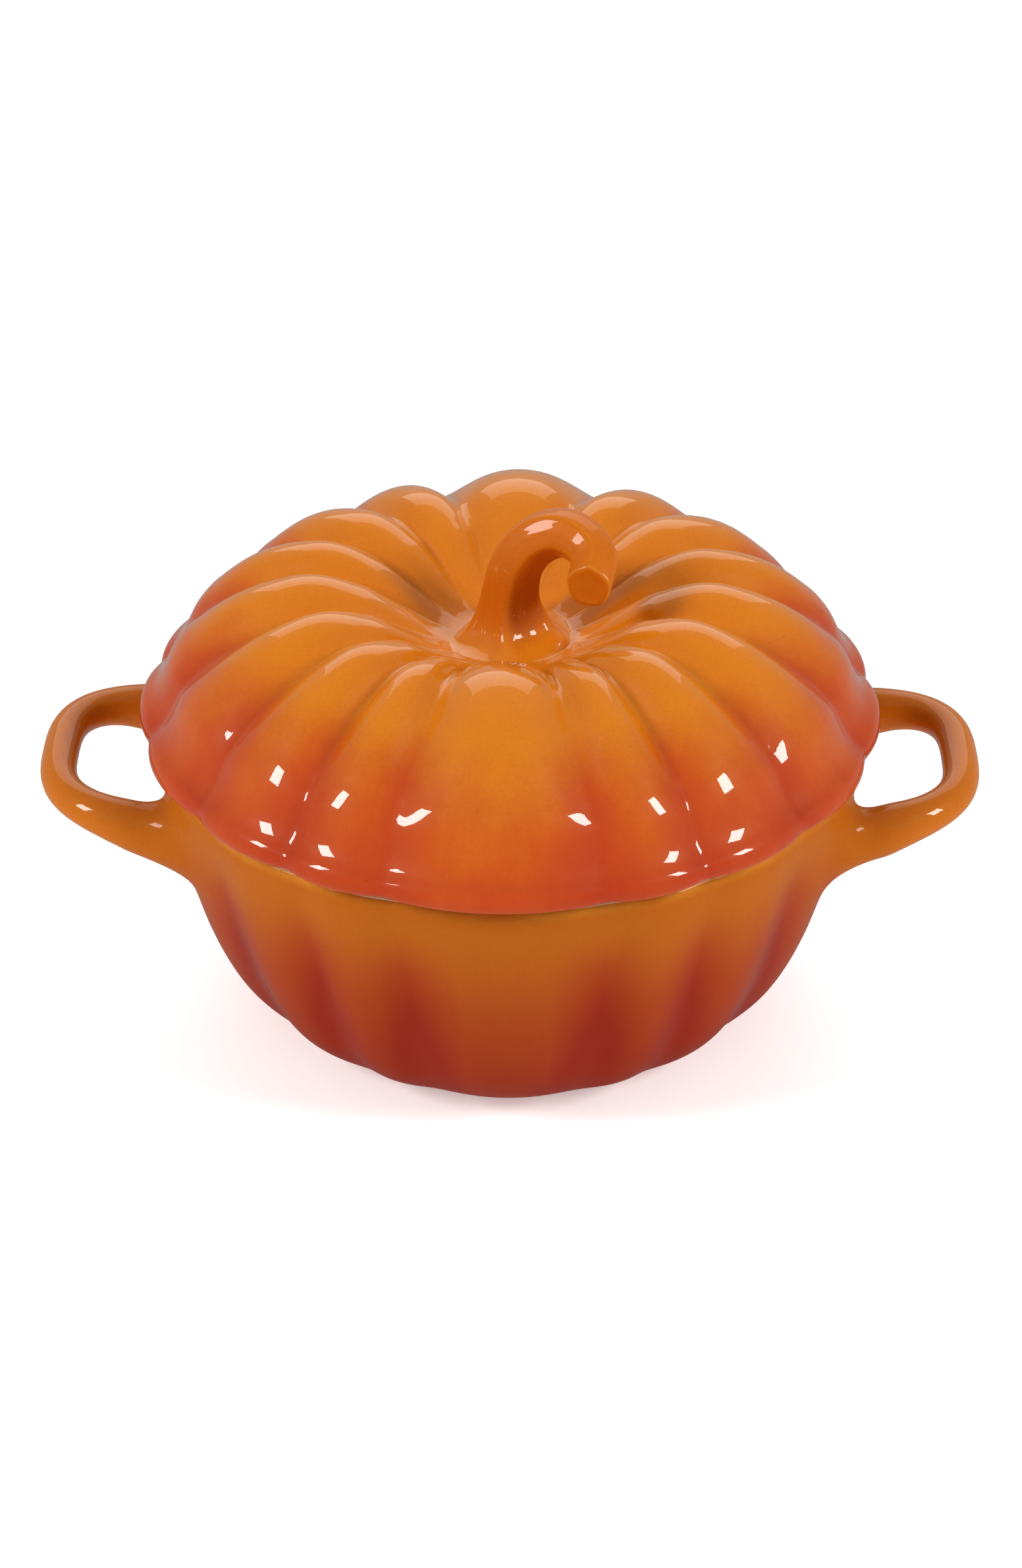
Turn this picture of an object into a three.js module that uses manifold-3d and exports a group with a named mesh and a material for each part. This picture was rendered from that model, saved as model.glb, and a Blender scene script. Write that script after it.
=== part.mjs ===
// A pumpkin-shaped covered casserole in glazed stoneware: a lobed bowl with two loop handles,
// and a lobed lid with a curled stem for a knob. Millimetres, +Z up, the origin at the middle of
// the foot, +X through the handles and -Y towards the front.
import * as THREE from 'three';
import { mergeVertices } from 'three/addons/utils/BufferGeometryUtils.js';
import Module from 'manifold-3d';

const wasm = await Module();
wasm.setup();

// ---- Driving dimensions ----------------------------------------------------------------------

// The lobes, which lid and bowl share: the creases on one side, in degrees from the front.
// The other side mirrors them, and the lid sits a little turned on the bowl.
const creaseAngles = [17, 33, 53, 76, 99, 119, 141, 162.5];
const meanLobeAngle = 360 / (2 * creaseAngles.length);
const lobeRoundness = 0.66;
const wideLobeGain = 0.38;
const lidTurn = -1.9;

// The bowl
const bowlHeight = 70.2;
const bowlRimRadius = 82.0;
const rimWidth = 7.0;
const rimRounding = 1.2;
const bowlWall = 5.0;
const floorThickness = 5.5;
const footRadius = 51.0;
const footWidth = 6.0;
const footRecess = 1.2;
const bowlCrease = 4.3;
const rimCrease = 2.0;
const insideCreaseShare = 0.8;

// The lid
const lidRise = 34.6;
const lidOverhang = 2.1;
const lidWall = 5.2;
const lidCrease = 7.0;
const lipThickness = 4.4;
const crownDip = 15.4;
const skirtDepth = 5.0;
const skirtWidth = 3.6;

// How the lid fits the bowl
const seatGap = 0.3;
const skirtPlay = 0.8;

// The stem
const stemHeight = 54.0;
const stemReach = 17.7;
const stemOffset = 1.0;
const stemForward = 15.0;
const stemFootRadius = 11.5;
const stemNeckRadius = 6.3;
const stemTipRadius = 5.0;
const stemFlutes = 5;
const fluteDepth = 0.06;
const stemFlareShare = 0.16;

// The handles
const handleReach = 24.6;
const handleSpan = 61.0;
const handleDrop = 14.0;
const handleLift = 3.0;
const handleThickness = 7.6;
const handleDepth = 7.8;
const handleFlare = 0.8;
const handleFlareShare = 0.11;
const handleSquareness = 3.2;

// How finely the curved faces are divided
const lobeSteps = 6;
const insideLobeSteps = 3;
const lidSteps = 15;
const wallSteps = 12;
const insideSteps = 9;
const sweepSides = 12;
const handleSteps = 30;
const stemSteps = 22;

const glazeOrange = 0xcf6a22;
const glazeAmber = 0xb4642c;

// ---- Lobes -----------------------------------------------------------------------------------

const creases = [...creaseAngles.map((angle) => -angle).reverse(), ...creaseAngles];

// The azimuths of a solid's columns: every crease, and even steps between one and the next.
function columnAngles(stepsPerLobe) {
  const columns = [];
  creases.forEach((from, lobe) => {
    const wraps = lobe === creases.length - 1;
    const to = wraps ? creases[0] + 360 : creases[lobe + 1];
    for (let step = 0; step < stepsPerLobe; step += 1) {
      const across = (2 * step) / stepsPerLobe - 1;
      const swell = Math.max(0, 1 - across * across) ** lobeRoundness;
      const gain = 1 + wideLobeGain * ((to - from) / meanLobeAngle - 1);
      columns.push({ angle: from + ((to - from) * (across + 1)) / 2, swell: swell * gain });
    }
  });
  return columns;
}

// ---- Solids ----------------------------------------------------------------------------------

function toSolid(geometry) {
  geometry.deleteAttribute('normal');
  geometry.deleteAttribute('uv');
  const merged = mergeVertices(geometry, 1e-4);
  const index = merged.index.array;
  const triangles = [];
  for (let i = 0; i < index.length; i += 3) {
    const [a, b, c] = [index[i], index[i + 1], index[i + 2]];
    if (a !== b && b !== c && c !== a) triangles.push(a, b, c);
  }
  return new wasm.Manifold(new wasm.Mesh({
    numProp: 3,
    vertProperties: merged.attributes.position.array,
    triVerts: new Uint32Array(triangles),
  }));
}

function toMesh(solid, name, material) {
  const { vertProperties, triVerts } = solid.getMesh();
  const geometry = new THREE.BufferGeometry();
  geometry.setAttribute('position', new THREE.BufferAttribute(vertProperties, 3));
  geometry.setIndex(new THREE.BufferAttribute(triVerts, 1));
  geometry.computeVertexNormals();
  const mesh = new THREE.Mesh(geometry, material);
  mesh.name = name;
  return mesh;
}

// A lobed solid of revolution. Each row of the profile runs from the axis, over the outside and
// back to the axis, and holds a crest point, how deep the creases lie below it, and the
// direction in which they lie.
function lobedSolid(rows, stepsPerLobe, turn = 0) {
  const columns = columnAngles(stepsPerLobe);
  const outline = rows.map(({ radius, height }) => new THREE.Vector2(radius, height));
  const geometry = new THREE.LatheGeometry(outline, columns.length);
  const position = geometry.attributes.position;
  for (let i = 0; i < position.count; i += 1) {
    const row = rows[i % rows.length];
    const column = columns[Math.floor(i / rows.length) % columns.length];
    const shift = row.depth * (column.swell - 1);
    const radius = row.radius + row.across * shift;
    const azimuth = THREE.MathUtils.degToRad(column.angle + turn);
    position.setXYZ(
      i,
      radius * Math.sin(azimuth),
      -radius * Math.cos(azimuth),
      row.height + row.upward * shift,
    );
  }
  return toSolid(geometry);
}

// Rows along a smooth crest line through (radius, height, crease depth) points. The creases lie
// inwards along the normal, and `inset` moves the whole line inwards by a wall's thickness.
function crestRows(points, steps, inset = 0, creaseShare = 1) {
  const line = new THREE.CatmullRomCurve3(points.map((point) => new THREE.Vector3(...point)));
  const rows = [];
  for (let step = 0; step <= steps; step += 1) {
    const point = line.getPointAt(step / steps);
    const tangent = line.getTangentAt(step / steps);
    const length = Math.hypot(tangent.x, tangent.y);
    const across = tangent.y / length;
    const upward = -tangent.x / length;
    rows.push({
      radius: point.x - across * inset,
      height: point.y - upward * inset,
      depth: point.z * creaseShare,
      across,
      upward,
    });
  }
  return rows;
}

// One row that doesn't follow a crest line: its creases, if any, lie straight inwards.
function plainRow(radius, height, depth = 0) {
  return { radius, height, depth, across: 1, upward: 0 };
}

// A closed cylinder bent along a curve. `upwards` is square to the curve or nearly so, and the
// section worked out at each place on the way is so wide and so tall about its own axis, which
// may sink below the curve.
function sweptSolid(curve, upwards, steps, sectionAt) {
  const geometry = new THREE.CylinderGeometry(1, 1, 1, sweepSides, steps);
  const position = geometry.attributes.position;
  const vertex = new THREE.Vector3();
  for (let i = 0; i < position.count; i += 1) {
    vertex.fromBufferAttribute(position, i);
    const along = vertex.y + 0.5;
    const turn = Math.atan2(vertex.x, vertex.z);
    const size = Math.hypot(vertex.x, vertex.z);
    const tangent = curve.getTangent(along);
    const across = tangent.clone().cross(upwards).normalize();
    const up = across.clone().cross(tangent).normalize();
    const section = sectionAt(along, turn);
    vertex.copy(curve.getPoint(along))
      .addScaledVector(across, size * section.wide * Math.sin(turn))
      .addScaledVector(up, size * section.tall * Math.cos(turn) - section.sink);
    position.setXYZ(i, vertex.x, vertex.y, vertex.z);
  }
  return toSolid(geometry);
}

// ---- The bowl --------------------------------------------------------------------------------

// The outside of the wall, from the foot up: how far out between foot and rim, how far up, and
// how deep the creases are.
const wallRise = bowlHeight - rimRounding;
const wallSpread = bowlRimRadius - footRadius;
const wallPoints = [
  [0.0, 0.0, 0.0],
  [0.17, 0.04, 0.28],
  [0.37, 0.115, 0.67],
  [0.52, 0.2, 0.9],
  [0.63, 0.3, 1.0],
  [0.76, 0.45, 0.98],
  [0.91, 0.73, 0.77],
  [1.0, 1.0, rimCrease / bowlCrease],
].map(([out, up, crease]) => [
  footRadius + wallSpread * out,
  wallRise * up,
  bowlCrease * crease,
]);

function bowlOutside() {
  return lobedSolid([
    plainRow(0, footRecess),
    plainRow(footRadius - footWidth - footRecess, footRecess),
    plainRow(footRadius - footWidth, 0),
    ...crestRows(wallPoints, wallSteps),
    plainRow(bowlRimRadius - rimRounding, bowlHeight, rimCrease),
    plainRow(0, bowlHeight),
  ], lobeSteps);
}

const mouthRadius = bowlRimRadius - rimWidth;
const galleryDepth = skirtDepth + 2 * seatGap + rimRounding;

// The inside of the wall keeps the wall's thickness from the outside, down to the floor.
function bowlInside() {
  const insideWall = crestRows(wallPoints, insideSteps, bowlWall, insideCreaseShare)
    .filter(({ height }) => height > floorThickness && height < bowlHeight - 2 * galleryDepth);
  return lobedSolid([
    plainRow(0, floorThickness),
    plainRow(insideWall[0].radius - bowlWall, floorThickness),
    ...insideWall,
    plainRow(mouthRadius, bowlHeight - galleryDepth),
    plainRow(mouthRadius, bowlHeight - rimRounding),
    plainRow(mouthRadius + rimRounding, bowlHeight),
    plainRow(mouthRadius + rimRounding, bowlHeight + rimWidth),
    plainRow(0, bowlHeight + rimWidth),
  ], insideLobeSteps);
}

// One handle: half of a squarish ring that starts and ends inside the wall, and swells where it
// meets the wall.
function handle(side) {
  const innerX = mouthRadius - bowlWall;
  const outerX = bowlRimRadius + handleReach - handleThickness / 2;
  const halfSpan = (handleSpan - handleThickness) / 2;
  const power = 2 / handleSquareness;
  const points = [];
  for (let step = 0; step <= handleSteps; step += 1) {
    const turn = (Math.PI * step) / handleSteps;
    const out = Math.sin(turn) ** power;
    const across = Math.sign(Math.cos(turn)) * Math.abs(Math.cos(turn)) ** power;
    points.push(new THREE.Vector3(
      side * (innerX + (outerX - innerX) * out),
      halfSpan * across,
      bowlHeight - handleDrop + handleLift * out,
    ));
  }
  const curve = new THREE.CatmullRomCurve3(points);
  const upwards = new THREE.Vector3(0, 0, 1);
  return sweptSolid(curve, upwards, handleSteps, (along) => {
    const fromWall = Math.min(along, 1 - along);
    const flare = handleFlare * Math.exp(-((fromWall / handleFlareShare) ** 2));
    return {
      wide: (handleDepth / 2) * (1 + flare),
      tall: (handleThickness / 2) * (1 + flare),
      sink: (handleThickness / 2) * flare,
    };
  });
}

function bowl() {
  const solid = bowlOutside().add(handle(1)).add(handle(-1)).subtract(bowlInside());
  const glaze = new THREE.MeshStandardMaterial({ color: glazeAmber, roughness: 0.2, metalness: 0 });
  return toMesh(solid, 'bowl', glaze);
}

// ---- The lid ---------------------------------------------------------------------------------

// The lid's crest line, from the stem out to the lip: how far out of the lip's radius, how high
// of the rise, and how deep the creases are.
const lidSeat = bowlHeight + seatGap;
const lipRadius = bowlRimRadius + lidOverhang;
const crownHeight = lidRise - crownDip;
const lidPoints = [
  [0.11, crownHeight, 0.0],
  [0.19, crownHeight + 0.05 * lidRise, 0.17],
  [0.285, 0.75 * lidRise, 0.46],
  [0.392, 0.91 * lidRise, 0.74],
  [0.523, lidRise, 0.92],
  [0.654, 0.935 * lidRise, 1.0],
  [0.76, 0.805 * lidRise, 0.96],
  [0.844, 0.63 * lidRise, 0.72],
  [0.9, 0.47 * lidRise, 0.44],
  [0.942, 0.3 * lidRise, 0.3],
  [0.975, lipThickness + 0.04 * lidRise, 0.27],
  [0.993, lipThickness - 0.4, 0.29],
  [1.0, lipThickness / 2, rimCrease / lidCrease],
].map(([out, up, crease]) => [lipRadius * out, lidSeat + up, lidCrease * crease]);
const lidCrest = [...lidPoints].reverse();

const skirtRadius = mouthRadius - skirtPlay;

function lidOutside() {
  return lobedSolid([
    plainRow(0, lidSeat - skirtDepth),
    plainRow(skirtRadius - seatGap, lidSeat - skirtDepth),
    plainRow(skirtRadius, lidSeat),
    plainRow(lipRadius - rimRounding, lidSeat, rimCrease),
    ...crestRows(lidCrest, lidSteps),
    plainRow(0, lidSeat + crownHeight),
  ], lobeSteps, lidTurn);
}

function lidInside() {
  const hollowRadius = skirtRadius - skirtWidth;
  const insideCrown = crestRows(lidCrest, lidSteps, lidWall, insideCreaseShare)
    .filter(({ radius, height }) => radius < hollowRadius && height > lidSeat + 2 * lipThickness)
    .filter((row, i) => i % 2 === 0);
  const crown = insideCrown[insideCrown.length - 1];
  return lobedSolid([
    plainRow(0, lidSeat - 2 * skirtDepth),
    plainRow(hollowRadius, lidSeat - 2 * skirtDepth),
    plainRow(hollowRadius, lidSeat + seatGap),
    ...insideCrown,
    plainRow(0, crown.height),
  ], insideLobeSteps, lidTurn);
}

// The stem rises from a wide foot, leans over to one side and curls forwards to a cut end. Its
// centre line is given as shares of its reach, of how far it comes forward, and of its rise.
function stem() {
  const top = lidSeat + stemHeight - stemNeckRadius;
  const foot = lidSeat + crownHeight - lidWall / 2;
  const curve = new THREE.CatmullRomCurve3([
    [0.0, 0.0, 0.0],
    [-0.03, -0.03, 0.25],
    [-0.03, -0.05, 0.51],
    [0.06, -0.05, 0.74],
    [0.28, -0.02, 0.91],
    [0.59, 0.1, 1.0],
    [0.88, 0.33, 0.965],
    [1.0, 0.63, 0.89],
    [0.93, 1.0, 0.8],
  ].map(([over, forward, up]) => new THREE.Vector3(
    stemOffset + stemReach * over,
    -stemForward * forward,
    THREE.MathUtils.lerp(foot, top, up),
  )));
  const sideways = new THREE.Vector3(-1, 2, 0).normalize();
  return sweptSolid(curve, sideways, stemSteps, (along, turn) => {
    const spread = Math.exp(-((along / stemFlareShare) ** 2));
    const taper = THREE.MathUtils.lerp(stemNeckRadius, stemTipRadius, along);
    const flute = 1 + fluteDepth * Math.cos(stemFlutes * turn);
    const radius = (taper + (stemFootRadius - stemNeckRadius) * spread) * flute;
    return { wide: radius, tall: radius, sink: 0 };
  });
}

function lid() {
  const solid = lidOutside().subtract(lidInside()).add(stem());
  const glaze = new THREE.MeshStandardMaterial({ color: glazeOrange, roughness: 0.12, metalness: 0 });
  return toMesh(solid, 'lid', glaze);
}

// ---- The casserole ---------------------------------------------------------------------------

const casserole = new THREE.Group();
casserole.add(bowl(), lid());

export default casserole;
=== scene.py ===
"""The looks of a pumpkin-shaped covered casserole: a lobed bowl with two loop handles, and a
lobed lid whose knob is a curled stem, in glazed stoneware."""

import math
from collections import namedtuple

import bmesh
import bpy
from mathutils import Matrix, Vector


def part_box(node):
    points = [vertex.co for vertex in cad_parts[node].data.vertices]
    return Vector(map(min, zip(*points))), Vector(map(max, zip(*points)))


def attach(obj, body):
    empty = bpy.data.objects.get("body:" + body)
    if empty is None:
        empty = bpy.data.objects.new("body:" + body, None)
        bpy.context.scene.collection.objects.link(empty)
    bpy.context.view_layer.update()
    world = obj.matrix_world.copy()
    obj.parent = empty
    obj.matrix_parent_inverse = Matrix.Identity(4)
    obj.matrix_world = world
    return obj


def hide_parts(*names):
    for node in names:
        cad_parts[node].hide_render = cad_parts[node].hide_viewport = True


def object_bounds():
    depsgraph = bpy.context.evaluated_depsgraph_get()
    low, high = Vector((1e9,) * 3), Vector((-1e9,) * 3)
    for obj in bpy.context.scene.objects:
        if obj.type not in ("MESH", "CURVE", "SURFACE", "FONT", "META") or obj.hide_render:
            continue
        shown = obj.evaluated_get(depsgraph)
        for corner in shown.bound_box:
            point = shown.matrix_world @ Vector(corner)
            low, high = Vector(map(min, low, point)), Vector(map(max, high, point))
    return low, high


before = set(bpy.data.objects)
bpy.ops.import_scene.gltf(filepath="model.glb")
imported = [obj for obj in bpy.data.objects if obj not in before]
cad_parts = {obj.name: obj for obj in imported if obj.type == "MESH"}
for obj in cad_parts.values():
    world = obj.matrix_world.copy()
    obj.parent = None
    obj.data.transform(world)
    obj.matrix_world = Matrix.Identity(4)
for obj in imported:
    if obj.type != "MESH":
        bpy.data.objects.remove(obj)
cad_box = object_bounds()
_, bowl_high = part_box("bowl")
lid_low, lid_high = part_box("lid")

MM = 0.001
TINY = 1e-6
CURVE_FINENESS = 24

# ---- Sizes, in metres ------------------------------------------------------------------------

# The creases between the lobes on one side, in degrees from the front. The other side mirrors
# them, and the lid sits a little turned on the bowl.
HALF_CREASES = [17.0, 33.0, 53.0, 76.0, 99.0, 119.0, 141.0, 162.5]
CREASES = HALF_CREASES + [360.0 - angle for angle in reversed(HALF_CREASES)]
CREASES.append(CREASES[0] + 360.0)
LOBES = len(CREASES) - 1
WIDE_LOBE_GAIN = 0.38
LID_TURN = -1.9
LOBE_COLUMNS = 10
COLUMNS = LOBES * LOBE_COLUMNS

# How the columns of faces crowd towards the creases, how full a lobe's section is, and which
# creases are deep enough to be softened into valleys, and how often.
CREASE_CROWDING = 0.55
CROWN_FULLNESS = 3.6
LID_FULLNESS = 2.4
BOWL_FULLNESS = 2.7
RIM_FULLNESS = 2.4
SOFT_VALLEY_SHARE = 0.5
VALLEY_PASSES = 3

BOWL_HEIGHT = bowl_high.z
RIM_RADIUS = 82.0 * MM
MOUTH_RADIUS = 75.0 * MM
RIM_ROUNDING = 1.2 * MM
BOWL_WALL = 5.0 * MM
FLOOR_HEIGHT = 5.5 * MM
FOOT_RADIUS = 51.0 * MM
FOOT_WIDTH = 6.0 * MM
FOOT_RECESS = 1.2 * MM
GALLERY_DEPTH = 6.8 * MM
BOWL_CREASE = 4.3 * MM
RIM_CREASE = 2.0 * MM
INSIDE_CREASE_SHARE = 0.8
FOOT_ROWS = 7
WALL_ROWS = 30
INSIDE_ROWS = 24

SKIRT_DEPTH = 5.0 * MM
LID_SEAT = lid_low.z + SKIRT_DEPTH
LID_RISE = 34.6 * MM
LIP_RADIUS = 84.1 * MM
LIP_THICKNESS = 4.4 * MM
CROWN_HEIGHT = 19.2 * MM
LID_WALL = 5.2 * MM
LID_CREASE = 7.0 * MM
SKIRT_RADIUS = 74.2 * MM
SKIRT_WIDTH = 3.6 * MM
LID_ROWS = 64
HOLLOW_ROWS = 26

STEM_HEIGHT = lid_high.z - LID_SEAT
STEM_REACH = 17.7 * MM
STEM_OFFSET = 1.0 * MM
STEM_FORWARD = 15.0 * MM
STEM_FOOT_RADIUS = 11.5 * MM
STEM_NECK_RADIUS = 6.3 * MM
STEM_TIP_RADIUS = 5.0 * MM
STEM_RIBS = 5
STEM_RIB_TURN = 0.6
STEM_RIB_CREST = 1.25
STEM_BEAD = 1.5 * MM
STEM_BEAD_WIDTH = 0.022
STEM_STEPS = 200
STEM_RINGS = 30
STEM_START = 0.075
STEM_FLARE = 0.16
STEM_OPENING = 13.2 * MM
STEM_CUT = Vector((-0.28, -0.95, 0.02)).normalized()
STEM_CUT_START = 0.8

HANDLE_REACH = bowl_high.x - RIM_RADIUS
HANDLE_SPAN = 61.0 * MM
HANDLE_DROP = 14.0 * MM
HANDLE_LIFT = 3.0 * MM
HANDLE_THICKNESS = 8.0 * MM
HANDLE_DEPTH = 8.4 * MM
HANDLE_FLARE = 0.9
HANDLE_FLARE_WIDTH = 0.17
HANDLE_SQUARENESS = 3.0
HANDLE_SIDES = 20
HANDLE_RINGS = 34
HANDLE_STEPS = 240
HANDLE_START = 0.115

# The hole in the wall that a handle's end grows out of: its columns and rows to each side of its
# middle, how far that middle lies from the handle's end, and the passes that turn the joint into
# a fillet.
PATCH_COLUMNS = 2
PATCH_ROWS = 3
PATCH_INWARDS = 4.5 * MM
PATCH_DOWN = 2.5 * MM
FILLET_PASSES = 5

# Which finish a face has, as its place in the piece's list of materials
OUTSIDE, INSIDE, BARE = 0, 1, 2


# ---- Small helpers ---------------------------------------------------------------------------

def blend(start, end, share):
    return start + (end - start) * share


def hump(distance, width):
    return math.exp(-((distance / width) ** 2))


def soften(bm, verts, passes=1):
    for _ in range(passes):
        bmesh.ops.smooth_vert(
            bm, verts=verts, factor=0.5, use_axis_x=True, use_axis_y=True, use_axis_z=True)


def smooth_line(points, steps):
    """Even steps along a smooth line through the points."""
    points = [Vector(point) for point in points]
    last = len(points) - 1
    dense = []
    for index in range(last):
        a, b, c, d = (points[min(max(index + k, 0), last)] for k in (-1, 0, 1, 2))
        for fine in range(CURVE_FINENESS):
            t = fine / CURVE_FINENESS
            dense.append(0.5 * (
                2 * b + (c - a) * t + (2 * a - 5 * b + 4 * c - d) * t ** 2
                + (3 * b - a - 3 * c + d) * t ** 3))
    dense.append(points[-1])
    lengths = [0.0]
    for before, after in zip(dense, dense[1:]):
        lengths.append(lengths[-1] + (after - before).length)
    line = []
    spot = 0
    for step in range(steps + 1):
        goal = lengths[-1] * step / steps
        while spot < len(lengths) - 2 and lengths[spot + 1] < goal:
            spot += 1
        share = (goal - lengths[spot]) / max(lengths[spot + 1] - lengths[spot], TINY)
        line.append(dense[spot].lerp(dense[spot + 1], min(share, 1.0)))
    return line


# ---- Thrown and lobed forms ------------------------------------------------------------------

# One row of a form's profile: its crest, how deep the creases lie below it, the direction out
# of the wall, the finish of the band that follows it, and how full its lobes are: full lobes
# have flat tops and narrow grooves between them.
Row = namedtuple("Row", "radius height depth out up finish full")


def plain_row(radius, height, finish, depth=0.0):
    return Row(radius, height, depth, 1.0, 0.0, finish, RIM_FULLNESS)


def crest_rows(points, steps, finish, fullness, inset=0.0, crease_share=1.0):
    """Rows along a smooth crest line of (radius, height, crease depth), moved in by a wall."""
    line = smooth_line(points, steps)
    rows = []
    for index, point in enumerate(line):
        along = line[min(index + 1, steps)] - line[max(index - 1, 0)]
        length = math.hypot(along.x, along.y)
        out = along.y / length
        up = -along.x / length
        rows.append(Row(
            point.x - out * inset, point.y - up * inset, point.z * crease_share,
            out, up, finish, fullness(point.x)))
    return rows


def throw(rows, turn, deepest):
    """Spins a profile into a closed form and presses its lobes."""
    bm = bmesh.new()
    layer = {name: bm.verts.layers.float.new(name) for name in (
        "row", "column", "depth", "out", "up", "full", "crease", "fall", "edge", "arm")}
    chain = []
    for index, row in enumerate(rows):
        vert = bm.verts.new((0.0, -row.radius, row.height))
        vert[layer["row"]] = index
        vert[layer["depth"]] = row.depth
        vert[layer["out"]] = row.out
        vert[layer["up"]] = row.up
        vert[layer["full"]] = row.full
        chain.append(vert)
    edges = [bm.edges.new(pair) for pair in zip(chain, chain[1:])]
    bmesh.ops.spin(
        bm, geom=chain + edges, cent=(0, 0, 0), axis=(0, 0, 1), dvec=(0, 0, 0),
        angle=2 * math.pi, steps=COLUMNS, use_merge=True, use_normal_flip=False,
        use_duplicate=False)
    bmesh.ops.remove_doubles(bm, verts=bm.verts, dist=TINY)
    for vert in bm.verts:
        radius = math.hypot(vert.co.x, vert.co.y)
        if radius < TINY:
            continue
        azimuth = math.degrees(math.atan2(vert.co.x, -vert.co.y)) % 360
        column = round(azimuth / 360 * COLUMNS) % COLUMNS
        lobe, step = divmod(column, LOBE_COLUMNS)
        across = 2 * step / LOBE_COLUMNS - 1
        across = blend(across, math.sin(across * math.pi / 2), CREASE_CROWDING)
        start, end = CREASES[lobe], CREASES[lobe + 1]
        gain = 1 + WIDE_LOBE_GAIN * ((end - start) * LOBES / 360 - 1)
        swell = gain * (1 - abs(across) ** vert[layer["full"]])
        shift = vert[layer["depth"]] * (swell - 1)
        azimuth = math.radians(blend(start, end, (across + 1) / 2) + turn)
        radius += vert[layer["out"]] * shift
        height = vert.co.z + vert[layer["up"]] * shift
        vert.co = (radius * math.sin(azimuth), -radius * math.cos(azimuth), height)
        vert[layer["column"]] = column
        vert[layer["crease"]] = max(0.0, 1 - swell) * vert[layer["depth"]] / deepest
    pressed = [vert for vert in bm.verts if vert[layer["depth"]] > 0]
    soften(bm, pressed)
    valleys = [vert for vert in pressed if vert[layer["depth"]] > SOFT_VALLEY_SHARE * deepest]
    soften(bm, valleys, VALLEY_PASSES)
    for face in bm.faces:
        band = sum(vert[layer["row"]] for vert in face.verts) / len(face.verts)
        face.material_index = rows[int(band)].finish
    return bm, layer


def finished_piece(bm, name, materials):
    bmesh.ops.recalc_face_normals(bm, faces=bm.faces)
    for face in bm.faces:
        face.smooth = True
    mesh = bpy.data.meshes.new(name)
    bm.to_mesh(mesh)
    bm.free()
    piece = bpy.data.objects.new(name, mesh)
    bpy.context.scene.collection.objects.link(piece)
    for material in materials:
        mesh.materials.append(material)
    rounding = piece.modifiers.new("rounding", "SUBSURF")
    rounding.levels = 1
    rounding.render_levels = 1
    return piece


def extrude_ring(bm, edges):
    """A new ring of vertices and edges next to a ring of edges."""
    grown = bmesh.ops.extrude_edge_only(bm, edges=edges)["geom"]
    verts = [part for part in grown if isinstance(part, bmesh.types.BMVert)]
    fresh = set(verts)
    ring = [part for part in grown
            if isinstance(part, bmesh.types.BMEdge) and fresh.issuperset(part.verts)]
    return verts, ring


# ---- The lid ---------------------------------------------------------------------------------

LID_CREST = [(LIP_RADIUS * out, LID_SEAT + up, LID_CREASE * crease) for out, up, crease in [
    (0.11, CROWN_HEIGHT, 0.0),
    (0.19, CROWN_HEIGHT + 0.05 * LID_RISE, 0.03),
    (0.285, 0.75 * LID_RISE, 0.24),
    (0.392, 0.91 * LID_RISE, 0.5),
    (0.523, LID_RISE, 0.82),
    (0.654, 0.935 * LID_RISE, 0.96),
    (0.76, 0.805 * LID_RISE, 0.86),
    (0.844, 0.63 * LID_RISE, 0.58),
    (0.9, 0.47 * LID_RISE, 0.38),
    (0.921, 0.365 * LID_RISE, 0.33),
    (0.944, 0.25 * LID_RISE, 0.29),
    (0.967, 0.182 * LID_RISE, 0.27),
    (0.99, 0.145 * LID_RISE, 0.28),
    (1.0, LIP_THICKNESS / 2, RIM_CREASE / LID_CREASE),
]]


def lid_fullness(radius):
    """Narrow grooves round the crown, which open into soft valleys towards the lip."""
    share = min(1.0, max(0.0, (radius / LIP_RADIUS - 0.25) / 0.5))
    return blend(CROWN_FULLNESS, LID_FULLNESS, share)


def bowl_fullness(_):
    """The same at every radius."""
    return BOWL_FULLNESS


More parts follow.
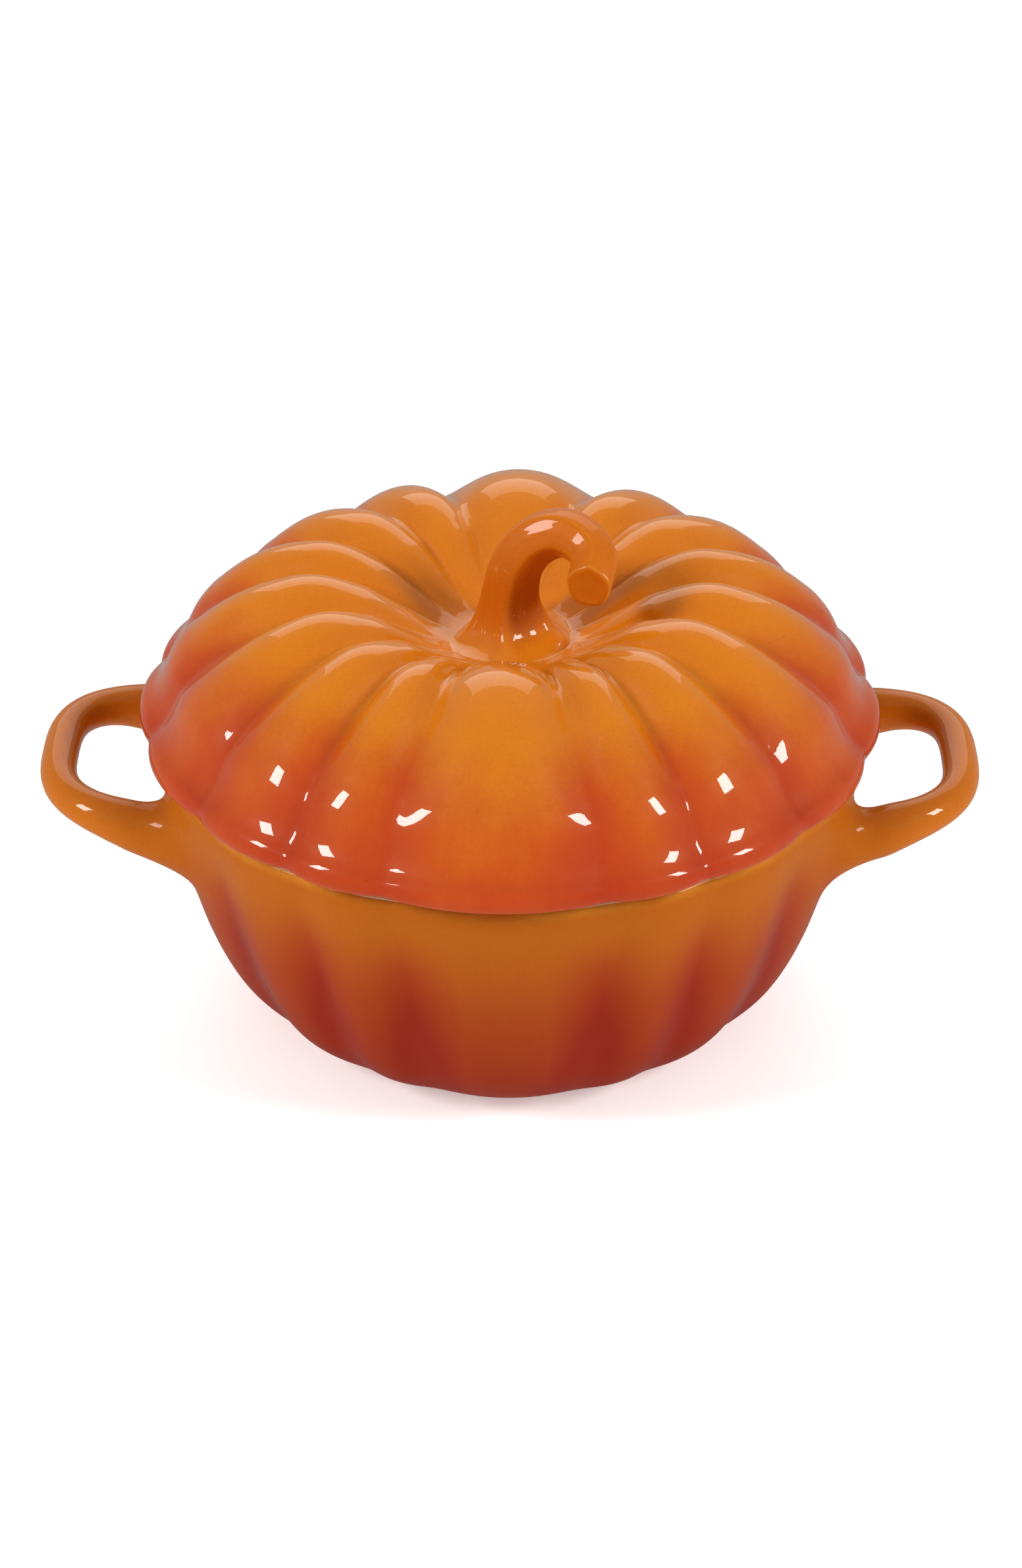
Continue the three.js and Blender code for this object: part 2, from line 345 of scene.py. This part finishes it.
def lid_rows():
    """The lid's profile: outside, under the lip, round the locating ring, and the hollow."""
    crest = list(reversed(LID_CREST))
    outside = crest_rows(crest, LID_ROWS, OUTSIDE, lid_fullness)
    outside = [row for row in reversed(outside) if row.radius >= STEM_OPENING]
    hollow_radius = SKIRT_RADIUS - SKIRT_WIDTH
    hollow = crest_rows(
        crest, HOLLOW_ROWS, INSIDE, lid_fullness, LID_WALL, INSIDE_CREASE_SHARE)
    hollow = [row for row in hollow
              if row.radius < hollow_radius and row.height > LID_SEAT + 2 * LIP_THICKNESS]
    skirt_foot = LID_SEAT - SKIRT_DEPTH
    under = [
        plain_row(LIP_RADIUS - 0.15 * MM, LID_SEAT + 1.1 * MM, OUTSIDE, RIM_CREASE),
        plain_row(LIP_RADIUS - 0.7 * MM, LID_SEAT + 0.3 * MM, OUTSIDE, RIM_CREASE),
        plain_row(LIP_RADIUS - 1.6 * MM, LID_SEAT, OUTSIDE, RIM_CREASE),
        plain_row(LIP_RADIUS - 4.5 * MM, LID_SEAT, BARE, RIM_CREASE / 2),
        plain_row(SKIRT_RADIUS + 0.9 * MM, LID_SEAT, INSIDE),
        plain_row(SKIRT_RADIUS + 0.1 * MM, LID_SEAT - 0.5 * MM, INSIDE),
        plain_row(SKIRT_RADIUS - 0.2 * MM, skirt_foot + 1.6 * MM, INSIDE),
        plain_row(SKIRT_RADIUS - 0.7 * MM, skirt_foot + 0.4 * MM, INSIDE),
        plain_row(SKIRT_RADIUS - 1.7 * MM, skirt_foot, INSIDE),
        plain_row(hollow_radius + 0.6 * MM, skirt_foot + 0.3 * MM, INSIDE),
        plain_row(hollow_radius, skirt_foot + 1.4 * MM, INSIDE),
        plain_row(hollow_radius, LID_SEAT + 2.0 * MM, INSIDE),
    ]
    crown = hollow[-1].height
    centre = [plain_row(5.0 * MM, crown, INSIDE), plain_row(0.0, crown, INSIDE)]
    return outside + under + hollow + centre


def stem_line():
    """The stem's centre line: up from the crown, over to one side, and forwards at the end."""
    foot = LID_SEAT + CROWN_HEIGHT - LID_WALL / 2
    top = LID_SEAT + STEM_HEIGHT - STEM_NECK_RADIUS
    return [Vector((
        STEM_OFFSET + STEM_REACH * over,
        -STEM_FORWARD * forward,
        blend(foot, top, up),
    )) for over, forward, up in [
        (0.0, 0.0, 0.0),
        (-0.03, -0.03, 0.25),
        (-0.03, -0.05, 0.51),
        (0.06, -0.05, 0.74),
        (0.28, -0.02, 0.91),
        (0.59, 0.1, 1.0),
        (0.88, 0.33, 0.965),
        (1.0, 0.63, 0.89),
        (0.93, 1.0, 0.8),
    ]]


def stem_frames():
    """The stem's centre, heading, side and front at even steps, turned to the cut at the end."""
    line = smooth_line(stem_line(), STEM_STEPS)
    heading = Vector((0, 0, 1))
    side = Vector((1, 0, 0))
    front = Vector((0, -1, 0))
    frames = []
    for index in range(STEM_STEPS + 1):
        tangent = (line[min(index + 1, STEM_STEPS)] - line[max(index - 1, 0)]).normalized()
        share = index / STEM_STEPS
        towards_cut = max(0.0, (share - STEM_CUT_START) / (1 - STEM_CUT_START)) ** 1.5
        tangent = tangent.lerp(STEM_CUT, towards_cut).normalized()
        turn = heading.rotation_difference(tangent)
        side.rotate(turn)
        front.rotate(turn)
        heading = tangent
        frames.append((line[index].copy(), tangent, side.copy(), front.copy()))
    return frames


def stem_radius(share):
    """A flared foot with a soft bead where it meets the crown, a neck, and a thinner tip."""
    radius = blend(STEM_NECK_RADIUS, STEM_TIP_RADIUS, share)
    radius += (STEM_FOOT_RADIUS - STEM_NECK_RADIUS) * hump(share, STEM_FLARE)
    return radius + STEM_BEAD * hump(share - STEM_START, STEM_BEAD_WIDTH)


def grow_stem(bm, layer):
    """Draws the crown's inner edge up into the ribbed stem, and closes its cut end."""
    frames = stem_frames()

    def ring_at(verts, share, scale=1.0, beyond=0.0):
        centre, tangent, side, front = frames[round(share * STEM_STEPS)]
        rib_depth = blend(0.07, 0.03, share) + 0.05 * hump(share, STEM_FLARE)
        for vert in verts:
            angle = vert[layer["out"]]
            around = STEM_RIBS * angle + STEM_RIB_TURN
            rib = math.cos(around) + (STEM_RIB_CREST - 1) * math.cos(2 * around)
            size = stem_radius(share) * scale * (1 + rib_depth * rib)
            vert.co = centre + tangent * beyond + size * (
                side * math.sin(angle) + front * math.cos(angle))
            vert[layer["arm"]] = min(1.0, (share - 0.07) / 0.12)
            vert[layer["crease"]] = 0.0
            sharp = max(0.0, rib / STEM_RIB_CREST) ** 5
            vert[layer["edge"]] = 0.5 * sharp * min(1.0, share / 0.1)

    ring = [edge for edge in bm.edges if edge.is_boundary]
    for vert in {vert for edge in ring for vert in edge.verts}:
        vert[layer["out"]] = math.atan2(vert.co.x, -vert.co.y)
    for step in range(STEM_RINGS + 1):
        verts, ring = extrude_ring(bm, ring)
        ring_at(verts, STEM_START + (1 - STEM_START) * (step / STEM_RINGS) ** 1.15)

    # The cut end: a narrow bevel, and a face that is a little hollow in the middle
    for scale, beyond in [(0.97, 0.35), (0.86, 0.6), (0.76, 0.55), (0.6, 0.35), (0.3, 0.2)]:
        verts, ring = extrude_ring(bm, ring)
        ring_at(verts, 1.0, scale, beyond * MM)
        for vert in verts:
            vert[layer["edge"]] = 1.0 if scale > 0.9 else 0.0
    verts, ring = extrude_ring(bm, ring)
    ring_at(verts, 1.0, 0.0, 0.2 * MM)
    bmesh.ops.remove_doubles(bm, verts=verts, dist=TINY)


def lid_piece(materials):
    bm, layer = throw(lid_rows(), LID_TURN, LID_CREASE)
    for vert in bm.verts:
        vert[layer["fall"]] = math.hypot(vert.co.x, vert.co.y) / LIP_RADIUS
    grow_stem(bm, layer)
    return finished_piece(bm, "lid_glazed", materials)


# ---- The bowl --------------------------------------------------------------------------------

WALL_CREST = [(
    blend(FOOT_RADIUS, RIM_RADIUS, out),
    (BOWL_HEIGHT - RIM_ROUNDING) * up,
    BOWL_CREASE * crease,
) for out, up, crease in [
    (0.0, 0.0, 0.0),
    (0.17, 0.04, 0.28),
    (0.37, 0.115, 0.67),
    (0.52, 0.2, 0.9),
    (0.63, 0.3, 1.0),
    (0.76, 0.45, 0.98),
    (0.91, 0.73, 0.77),
    (1.0, 1.0, RIM_CREASE / BOWL_CREASE),
]]


def bowl_rows():
    """The bowl's profile: foot, outside, rim, inside and floor."""
    foot_inside = FOOT_RADIUS - FOOT_WIDTH
    under = [
        plain_row(0.0, FOOT_RECESS, OUTSIDE),
        plain_row(20.0 * MM, FOOT_RECESS, OUTSIDE),
        plain_row(38.0 * MM, FOOT_RECESS, OUTSIDE),
        plain_row(foot_inside - 1.4 * MM, FOOT_RECESS, OUTSIDE),
        plain_row(foot_inside - 0.3 * MM, 0.5 * FOOT_RECESS, BARE),
        plain_row(foot_inside + 0.6 * MM, 0.0, BARE),
        plain_row(FOOT_RADIUS - 1.2 * MM, 0.0, OUTSIDE),
    ]
    wall = crest_rows(WALL_CREST, WALL_ROWS, OUTSIDE, bowl_fullness)
    wall[0] = wall[0]._replace(height=0.3 * MM)
    rim = [
        plain_row(RIM_RADIUS - 0.35 * MM, BOWL_HEIGHT - 0.4 * MM, INSIDE, RIM_CREASE),
        plain_row(RIM_RADIUS - 1.3 * MM, BOWL_HEIGHT, INSIDE, RIM_CREASE),
        plain_row(MOUTH_RADIUS + 1.4 * MM, BOWL_HEIGHT, INSIDE),
        plain_row(MOUTH_RADIUS + 0.3 * MM, BOWL_HEIGHT - 0.4 * MM, INSIDE),
        plain_row(MOUTH_RADIUS, BOWL_HEIGHT - 1.5 * MM, INSIDE),
        plain_row(MOUTH_RADIUS, BOWL_HEIGHT - GALLERY_DEPTH, INSIDE),
    ]
    inside = crest_rows(
        WALL_CREST, INSIDE_ROWS, INSIDE, bowl_fullness, BOWL_WALL, INSIDE_CREASE_SHARE)
    inside = [row for row in reversed(inside)
              if FLOOR_HEIGHT < row.height < BOWL_HEIGHT - 2 * GALLERY_DEPTH]
    floor_radius = inside[-1].radius - BOWL_WALL
    floor = [
        plain_row(floor_radius, FLOOR_HEIGHT, INSIDE),
        plain_row(floor_radius / 2, FLOOR_HEIGHT, INSIDE),
        plain_row(0.0, FLOOR_HEIGHT, INSIDE),
    ]
    return under + wall + rim + inside + floor


def handle_line(side):
    """Even steps round a handle's loop: half of a squarish ring that starts in the wall."""
    inner = MOUTH_RADIUS - BOWL_WALL
    outer = RIM_RADIUS + HANDLE_REACH - HANDLE_THICKNESS / 2
    power = 2 / HANDLE_SQUARENESS
    corners = 40
    points = []
    for corner in range(corners + 1):
        turn = math.pi * corner / corners
        out = math.sin(turn) ** power
        across = math.copysign(abs(math.cos(turn)) ** power, math.cos(turn))
        points.append((
            side * blend(inner, outer, out),
            (HANDLE_SPAN - HANDLE_THICKNESS) / 2 * across,
            BOWL_HEIGHT - HANDLE_DROP + HANDLE_LIFT * out,
        ))
    return smooth_line(points, HANDLE_STEPS)


def handle_frame(line, share):
    """A handle's centre and its section's half axes, a share of the way round its loop."""
    step = round(share * HANDLE_STEPS)
    tangent = (line[min(step + 4, HANDLE_STEPS)] - line[max(step - 4, 0)]).normalized()
    across = tangent.cross(Vector((0, 0, 1))).normalized()
    up = across.cross(tangent)
    flare = HANDLE_FLARE * hump(min(share, 1 - share), HANDLE_FLARE_WIDTH)
    centre = line[step] - up * HANDLE_THICKNESS / 2 * flare
    across *= HANDLE_DEPTH / 2 * (1 + flare)
    up *= HANDLE_THICKNESS / 2 * (1 + flare)
    return centre, across, up


def add_handle(bm, layer, side, patches):
    """A loop handle whose two ends open into holes in the wall, joined with soft fillets."""
    line = handle_line(side)
    loops = []
    circle = bmesh.ops.create_circle(bm, cap_ends=False, segments=HANDLE_SIDES, radius=1.0)
    verts = circle["verts"]
    for vert in verts:
        vert[layer["out"]] = math.atan2(vert.co.x, vert.co.y)
    ring = list(dict.fromkeys(edge for vert in verts for edge in vert.link_edges))
    loops.append(ring)
    for step in range(HANDLE_RINGS + 1):
        if step:
            verts, ring = extrude_ring(bm, ring)
        share = blend(HANDLE_START, 1 - HANDLE_START, step / HANDLE_RINGS)
        centre, across, up = handle_frame(line, share)
        for vert in verts:
            turn = vert[layer["out"]]
            vert.co = centre + across * math.sin(turn) + up * math.cos(turn)
            vert[layer["arm"]] = min(1.0, min(share - 0.07, 0.93 - share) / 0.15)
    loops.append(ring)
    for loop, rim in zip(loops, patches):
        join = bmesh.ops.bridge_loops(bm, edges=loop + rim)
        links = [edge for edge in join["edges"] if edge.is_valid]
        bmesh.ops.subdivide_edges(bm, edges=links, cuts=2, use_grid_fill=True)


def cut_patch(bm, layer, target):
    """Takes out a patch of the wall round a place, and returns the edges round the hole."""
    wall = [vert for vert in bm.verts if vert[layer["row"]] < FOOT_ROWS + WALL_ROWS]
    wall = [vert for vert in wall if math.hypot(vert.co.x, vert.co.y) > FOOT_RADIUS]
    middle = min(wall, key=lambda vert: (vert.co - target).length)
    columns = {(middle[layer["column"]] + step) % COLUMNS
               for step in range(-PATCH_COLUMNS, PATCH_COLUMNS + 1)}
    rows = {middle[layer["row"]] + step for step in range(-PATCH_ROWS, PATCH_ROWS + 1)}
    patch = {vert for vert in wall
             if vert[layer["column"]] in columns and vert[layer["row"]] in rows}
    faces = [face for face in bm.faces if patch.issuperset(face.verts)]
    bmesh.ops.delete(bm, geom=faces, context="FACES")
    patch = {vert for vert in patch if vert.is_valid}
    return [edge for edge in bm.edges if edge.is_boundary and patch.issuperset(edge.verts)]


def bowl_piece(materials):
    bm, layer = throw(bowl_rows(), 0.0, BOWL_CREASE)
    for vert in bm.verts:
        vert[layer["fall"]] = 1 - vert.co.z / BOWL_HEIGHT
        outer = math.hypot(vert.co.x, vert.co.y) > RIM_RADIUS - 4 * MM
        lip = BOWL_HEIGHT - vert.co.z
        vert[layer["edge"]] = hump(lip, 1.6 * MM) if outer else 0.0
    arms = []
    for side in (1, -1):
        patches = []
        for share in (HANDLE_START, 1 - HANDLE_START):
            centre, _, _ = handle_frame(handle_line(side), share)
            target = centre + Vector((-side * PATCH_INWARDS, 0, -PATCH_DOWN))
            patches.append(cut_patch(bm, layer, target))
        arms.append((side, patches))
    for side, patches in arms:
        before = set(bm.verts)
        add_handle(bm, layer, side, patches)
        fresh = [vert for vert in bm.verts if vert not in before]
        fillet = [vert for vert in fresh if abs(vert.co.x) < RIM_RADIUS + 1 * MM]
        rims = {vert for patch in patches for edge in patch for vert in edge.verts}
        soften(bm, list(set(fillet) | rims), FILLET_PASSES)
    return finished_piece(bm, "bowl_glazed", materials)


# ---- Finishes --------------------------------------------------------------------------------

def tint(red, green, blue):
    """A colour in the 0-255 numbers of a paint chart, as the shader wants it."""
    return tuple(
        (value / 255 / 12.92) if value <= 10 else ((value / 255 + 0.055) / 1.055) ** 2.4
        for value in (red, green, blue)) + (1.0,)


class Wire:
    """An output of a node, which can be used in sums."""

    def __init__(self, finish, socket):
        self.finish = finish
        self.socket = socket

    def sum(self, operation, first, second):
        return self.finish.node("ShaderNodeMath", {"operation": operation}, {0: first, 1: second})

    def __add__(self, other):
        return self.sum("ADD", self, other)

    def __radd__(self, other):
        return self.sum("ADD", other, self)

    def __sub__(self, other):
        return self.sum("SUBTRACT", self, other)

    def __rsub__(self, other):
        return self.sum("SUBTRACT", other, self)

    def __mul__(self, other):
        return self.sum("MULTIPLY", self, other)

    def __rmul__(self, other):
        return self.sum("MULTIPLY", other, self)

    def __pow__(self, other):
        return self.sum("POWER", self, other)


class Finish:
    """A material in the making."""

    def __init__(self, name):
        self.material = bpy.data.materials.new(name)
        self.material.use_nodes = True
        self.tree = self.material.node_tree
        self.surface = self.tree.nodes["Principled BSDF"]
        self.place = self.node("ShaderNodeTexCoord", {}, {}, "Object")

    def node(self, kind, settings, inputs, output=0):
        node = self.tree.nodes.new(kind)
        for name, value in settings.items():
            setattr(node, name, value)
        for key, value in inputs.items():
            self.join(node.inputs[key], value)
        return Wire(self, node.outputs[output])

    def join(self, socket, value):
        if isinstance(value, Wire):
            self.tree.links.new(value.socket, socket)
        else:
            socket.default_value = value

    def set(self, **values):
        for name, value in values.items():
            self.join(self.surface.inputs[name.replace("_", " ")], value)

    def layer(self, name):
        return self.node("ShaderNodeAttribute", {"attribute_name": name}, {}, "Fac")

    def noise(self, scale, detail=2.0, roughness=0.5, place=None):
        return self.node("ShaderNodeTexNoise", {}, {
            "Vector": place or self.place, "Scale": scale, "Detail": detail,
            "Roughness": roughness}, "Fac")

    def stretched(self, scale):
        """The place on the piece, with each axis scaled."""
        return self.node("ShaderNodeVectorMath", {"operation": "MULTIPLY"}, {
            0: self.place, 1: scale})

    def ease(self, value, low, high):
        """0 below low, 1 above high, and a soft step between them."""
        return self.node("ShaderNodeMapRange", {"interpolation_type": "SMOOTHSTEP"}, {
            "Value": value, "From Min": low, "From Max": high})

    def mix(self, share, first, second):
        return self.node("ShaderNodeMix", {"data_type": "RGBA"}, {
            0: share, 6: first, 7: second}, 2)

    def specks(self, scale):
        """The distance from the middles of scattered specks."""
        return self.node("ShaderNodeTexVoronoi", {}, {
            "Vector": self.place, "Scale": scale, "Randomness": 1.0}, "Distance")

    def bump(self, height, strength, distance):
        return self.node("ShaderNodeBump", {}, {
            "Height": height, "Strength": strength, "Distance": distance})


def glazed(
        name, colours, first_range, second_range, crease_pull, crease_range, arm_colour,
        arm_gloss, gloss, low_fade, sheen):
    """A gloss glaze that runs from amber, where it is thin, to red, where it has pooled.

    The two ranges say how far down the fall the middle and the deep colour come in. Creases pull
    the glaze down sooner. Arms are the handles and the stem. low_fade takes the gloss off the
    lower part.
    """
    light, middle, deep = colours
    finish = Finish(name)
    crease = finish.layer("crease")
    fall = finish.layer("fall")
    arm = finish.layer("arm")
    edge = finish.layer("edge")
    cloud = finish.noise(28.0, 3.0, 0.55)
    drift = finish.noise(90.0, 2.0, 0.5)
    streak = finish.noise(1.0, 3.0, 0.6, finish.stretched((120.0, 120.0, 16.0)))
    run = fall + 0.16 * (cloud - 0.5) + 0.14 * (streak - 0.5)
    run = run + crease_pull * crease ** 0.8 * finish.ease(fall, *crease_range)
    colour = finish.mix(finish.ease(run, *first_range), light, middle)
    colour = finish.mix(finish.ease(run, *second_range), colour, deep)
    colour = finish.mix(arm * (0.75 + 0.5 * (cloud - 0.5)), colour, arm_colour)

    # Thin pale glaze on sharp edges, iron flecks, and a fine mottle
    thin = edge * finish.ease(cloud + 0.3 * drift, 0.42, 0.9)
    colour = finish.mix(finish.ease(thin, 0.0, 0.8) * 0.6, colour, tint(224, 162, 62))
    speck = finish.specks(420.0)
    fleck = (1 - finish.ease(speck, 0.05, 0.16)) * finish.ease(drift, 0.52, 0.7)
    colour = finish.mix(fleck * 0.28, colour, tint(120, 44, 12))
    grain = finish.noise(1500.0, 2.0, 0.6)
    mottle = finish.ease(grain + 0.3 * drift, 0.45, 0.85)
    colour = finish.mix(mottle * 0.10, colour, tint(150, 52, 16))

    ripple = finish.noise(95.0, 2.0, 0.45)
    pit = finish.noise(700.0, 2.0, 0.5)
    coat = gloss * (1 - low_fade * finish.ease(fall, 0.45, 1.0))
    finish.set(
        Base_Color=colour,
        Roughness=0.38 + 0.10 * drift,
        Specular_IOR_Level=sheen,
        Coat_Weight=coat + arm * (arm_gloss - gloss),
        Coat_Roughness=0.02,
        Coat_IOR=1.42,
        Normal=finish.bump(ripple + 0.06 * pit, 0.22, 0.0006),
    )
    return finish.material


def cream_glaze():
    """The glaze of the inside and the rims, with a few small specks."""
    finish = Finish("cream_glaze")
    cloud = finish.noise(30.0, 3.0)
    colour = finish.mix(finish.ease(cloud, 0.35, 0.7), tint(240, 226, 200), tint(228, 206, 170))
    fleck = 1 - finish.ease(finish.specks(300.0), 0.04, 0.14)
    colour = finish.mix(fleck * 0.25, colour, tint(150, 110, 70))
    finish.set(
        Base_Color=colour,
        Roughness=0.18 + 0.1 * cloud,
        Coat_Weight=0.6,
        Coat_Roughness=0.05,
        Normal=finish.bump(finish.noise(120.0, 2.0), 0.15, 0.0005),
    )
    return finish.material


def bare_stoneware():
    """The unglazed body where a piece stands: the foot ring and the underside of the lip."""
    finish = Finish("bare_stoneware")
    grain = finish.noise(900.0, 4.0, 0.65)
    patch = finish.noise(60.0, 3.0)
    colour = finish.mix(patch, tint(214, 190, 156), tint(184, 152, 116))
    colour = finish.mix(finish.ease(grain, 0.55, 0.7) * 0.4, colour, tint(120, 92, 66))
    finish.set(
        Base_Color=colour,
        Roughness=0.78 + 0.15 * grain,
        Normal=finish.bump(grain, 0.5, 0.0004),
    )
    return finish.material


# ---- The casserole ---------------------------------------------------------------------------

lid_glaze = glazed(
    "lid_glaze",
    colours=(tint(214, 128, 21), tint(196, 84, 17), tint(180, 57, 17)),
    first_range=(0.7, 1.0),
    second_range=(0.88, 1.16),
    crease_pull=0.34,
    crease_range=(0.45, 0.95),
    arm_colour=tint(201, 106, 17),
    arm_gloss=0.4,
    gloss=1.0,
    low_fade=0.0,
    sheen=0.12)
bowl_glaze = glazed(
    "bowl_glaze",
    colours=(tint(180, 102, 25), tint(164, 68, 23), tint(148, 42, 15)),
    first_range=(0.1, 0.62),
    second_range=(0.48, 1.04),
    crease_pull=0.55,
    crease_range=(0.0, 0.5),
    arm_colour=tint(202, 117, 28),
    arm_gloss=0.75,
    gloss=0.25,
    low_fade=1.0,
    sheen=0.05)
cream = cream_glaze()
stoneware = bare_stoneware()

lid = lid_piece([lid_glaze, cream, stoneware])
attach(lid, "root")
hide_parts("lid")

bowl = bowl_piece([bowl_glaze, cream, stoneware])
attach(bowl, "root")
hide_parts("bowl")


# ---- Floor, light and camera -----------------------------------------------------------------

FLOOR_SIZE = 8.0
FLOOR_GLOW = 0.34
ROOM_LIGHT = 0.36
LIGHT_AIM = Vector((0, 0, 0.05))
CAMERA_AIM = Vector((0.0003, 0.0, 0.0512))
CAMERA_DISTANCE = 0.8715
CAMERA_TURN = 0.6
CAMERA_LIFT = 31.8
CAMERA_LENS = 87.1
CAMERA_FILM = 36.0


def pale_floor():
    bm = bmesh.new()
    bmesh.ops.create_grid(bm, x_segments=4, y_segments=4, size=FLOOR_SIZE)
    mesh = bpy.data.meshes.new("floor")
    bm.to_mesh(mesh)
    bm.free()
    finish = Finish("pale_floor")
    finish.set(
        Base_Color=(0.9, 0.9, 0.9, 1.0), Roughness=0.9, Emission_Color=(1.0, 1.0, 1.0, 1.0),
        Emission_Strength=FLOOR_GLOW)
    mesh.materials.append(finish.material)
    floor = bpy.data.objects.new("floor", mesh)
    bpy.context.scene.collection.objects.link(floor)
    floor.location.z = cad_box[0].z
    floor.visible_glossy = False


def soft_box(name, place, width, height, power):
    light = bpy.data.lights.new(name, "AREA")
    light.shape = "RECTANGLE"
    light.size = width
    light.size_y = height
    light.energy = power
    lamp = bpy.data.objects.new(name, light)
    bpy.context.scene.collection.objects.link(lamp)
    lamp.location = place
    towards = LIGHT_AIM - Vector(place)
    lamp.rotation_euler = towards.to_track_quat("-Z", "Y").to_euler()


def add_camera():
    turn, lift = math.radians(CAMERA_TURN), math.radians(CAMERA_LIFT)
    camera = bpy.data.cameras.new("camera")
    camera.sensor_fit = "VERTICAL"
    camera.sensor_height = CAMERA_FILM
    camera.lens = CAMERA_LENS
    stand = bpy.data.objects.new("camera", camera)
    bpy.context.scene.collection.objects.link(stand)
    stand.location = CAMERA_AIM + CAMERA_DISTANCE * Vector((
        math.sin(turn) * math.cos(lift), -math.cos(turn) * math.cos(lift), math.sin(lift)))
    stand.rotation_euler = (CAMERA_AIM - stand.location).to_track_quat("-Z", "Y").to_euler()
    bpy.context.scene.camera = stand


pale_floor()
soft_box("left_box", (-1.04, -0.46, 0.82), width=0.26, height=0.46, power=7.6)
soft_box("right_box", (1.04, -0.46, 0.82), width=0.26, height=0.46, power=7.6)
soft_box("back_wall", (0.0, 1.3, 0.95), width=1.6, height=1.0, power=5.0)
soft_box("back_strip", (0.0, 1.3, 0.95), width=1.0, height=0.5, power=2.5)

world = bpy.data.worlds.new("studio")
world.use_nodes = True
background = world.node_tree.nodes["Background"]
background.inputs["Color"].default_value = (1.0, 1.0, 1.0, 1.0)
background.inputs["Strength"].default_value = ROOM_LIGHT
bpy.context.scene.world = world
bpy.context.scene.view_settings.view_transform = "Standard"
bpy.context.scene.view_settings.look = "Medium High Contrast"

add_camera()
bpy.context.view_layer.update()
